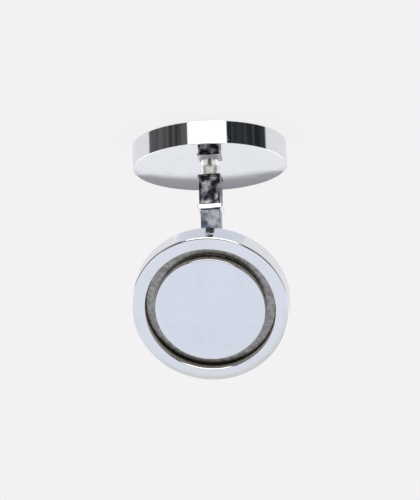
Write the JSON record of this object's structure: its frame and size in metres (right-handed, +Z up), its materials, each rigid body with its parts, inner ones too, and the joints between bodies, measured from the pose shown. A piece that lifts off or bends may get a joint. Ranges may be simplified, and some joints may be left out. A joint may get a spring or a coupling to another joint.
{
  "type": "security tag detacher",
  "caption": "Compact magnetic tag detacher: a round chrome pot magnet head with a ring groove, hinged on a square neck that swivels on a matching round chrome base.",
  "frame": {"origin": "centre of the underside of the rubber pad, where the base stands on the counter", "axes": "+Z up along the swivel axis and the neck; the pole face of the head looks up and towards -Y, turned a little towards +X at rest"},
  "size_m": [0.0512, 0.0517, 0.0777],
  "materials": {
    "pad_rubber": "moulded rubber, fine grain",
    "zinc_steel": "zinc-plated steel",
    "screw_steel": "turned steel, nickel flash",
    "ballast_iron": "machined cast iron",
    "base_chrome": "polished chrome plate",
    "spacer_nickel": "turned steel, satin nickel plate",
    "washer_plastic": "acetal, matt",
    "block_casting": "cast, blackened, high spots polished",
    "spring_steel": "blued spring steel",
    "ferrule_chrome": "polished chrome plate",
    "bar_steel": "drawn steel, blue-grey, slightly rippled",
    "black_oxide_steel": "black oxide",
    "bracket_steel": "milled steel, nickel plate",
    "cup_chrome": "polished chrome plate",
    "magnet_nickel": "nickel-plated sintered magnet",
    "gap_steel": "turned stainless steel, dull, with tool ridges",
    "pole_chrome": "polished chrome plate"
  },
  "bodies": {
    "base": {"base_pad": "pad_rubber", "base_plate": "zinc_steel", "base_screws": "screw_steel", "ballast_ring": "ballast_iron", "base_shell": "base_chrome", "king_bolt": "screw_steel", "king_bolt_washer": "zinc_steel", "post_spacer": "spacer_nickel", "swivel_thrust_washer": "washer_plastic", "swivel_friction_washer": "washer_plastic", "swivel_disc_springs": "spring_steel", "swivel_nut": "screw_steel"},
    "neck": {"swivel_block": "block_casting", "neck_ferrule": "ferrule_chrome", "neck_bar": "bar_steel", "neck_set_screw": "black_oxide_steel"},
    "head": {"hinge_bracket": "bracket_steel", "hinge_screw": "screw_steel", "hinge_friction_washers": "washer_plastic", "hinge_spring_washer": "spring_steel", "hinge_nut": "screw_steel", "bracket_screws": "screw_steel", "head_cup": "cup_chrome", "magnet_ring": "magnet_nickel", "gap_ring": "gap_steel", "pole_cap": "pole_chrome", "pole_screw": "screw_steel"}
  },
  "joints": [
    {"name": "neck_swivel", "type": "hinge", "parent": "base", "child": "neck", "pos_m": [0, 0, 0.0082], "axis": [0, 0, 1], "continuous": true},
    {"name": "head_tilt", "type": "hinge", "parent": "neck", "child": "head", "pos_m": [0, 0, 0.0497], "axis": [0.9925, 0.1219, 0], "range_deg": [-145, 45]}
  ]
}
